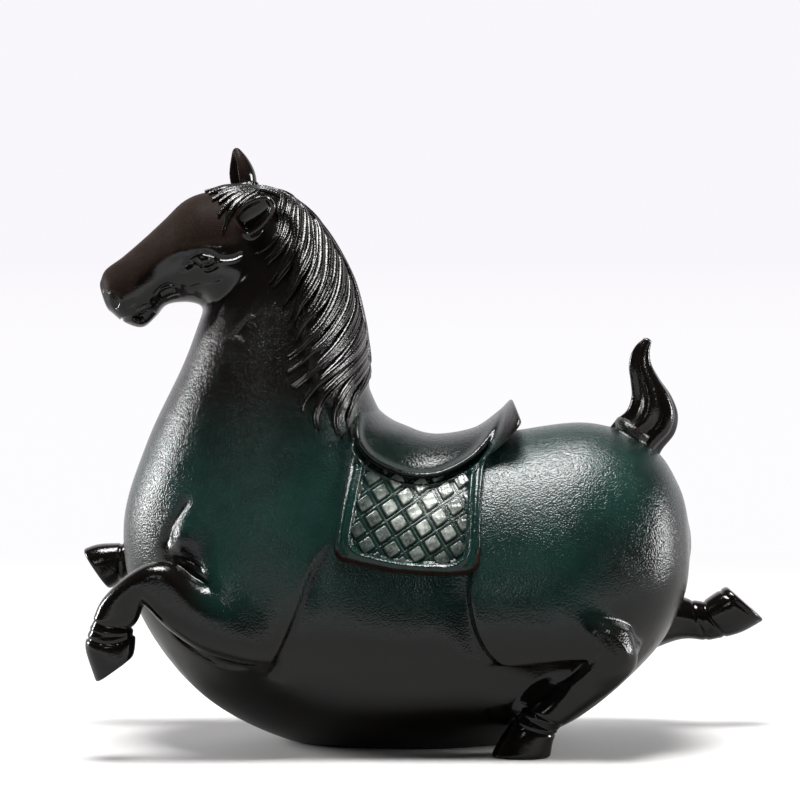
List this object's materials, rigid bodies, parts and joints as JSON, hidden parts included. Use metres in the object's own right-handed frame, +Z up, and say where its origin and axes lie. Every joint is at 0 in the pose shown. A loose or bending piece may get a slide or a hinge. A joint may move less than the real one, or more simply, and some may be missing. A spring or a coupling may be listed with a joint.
{
  "type": "ceramic horse statue",
  "caption": "Plump glazed ceramic horse resting on its belly with folded legs, a carved mane, a raised tail, a saddle and a lattice saddlecloth.",
  "frame": {"origin": "in the flat spot under the belly that the figure rests on", "axes": "+Z up from the surface it rests on, -X the way the head looks, -Y out of the flank beside the planted hind hoof"},
  "size_m": [0.2459, 0.1077, 0.2079],
  "materials": {
    "glaze": "dark teal green satin glaze with a leathery grain, fading to glossy black-brown on the head, mane, tail, legs and belly"
  },
  "bodies": {
    "root": {"horse": "glaze"}
  },
  "joints": []
}
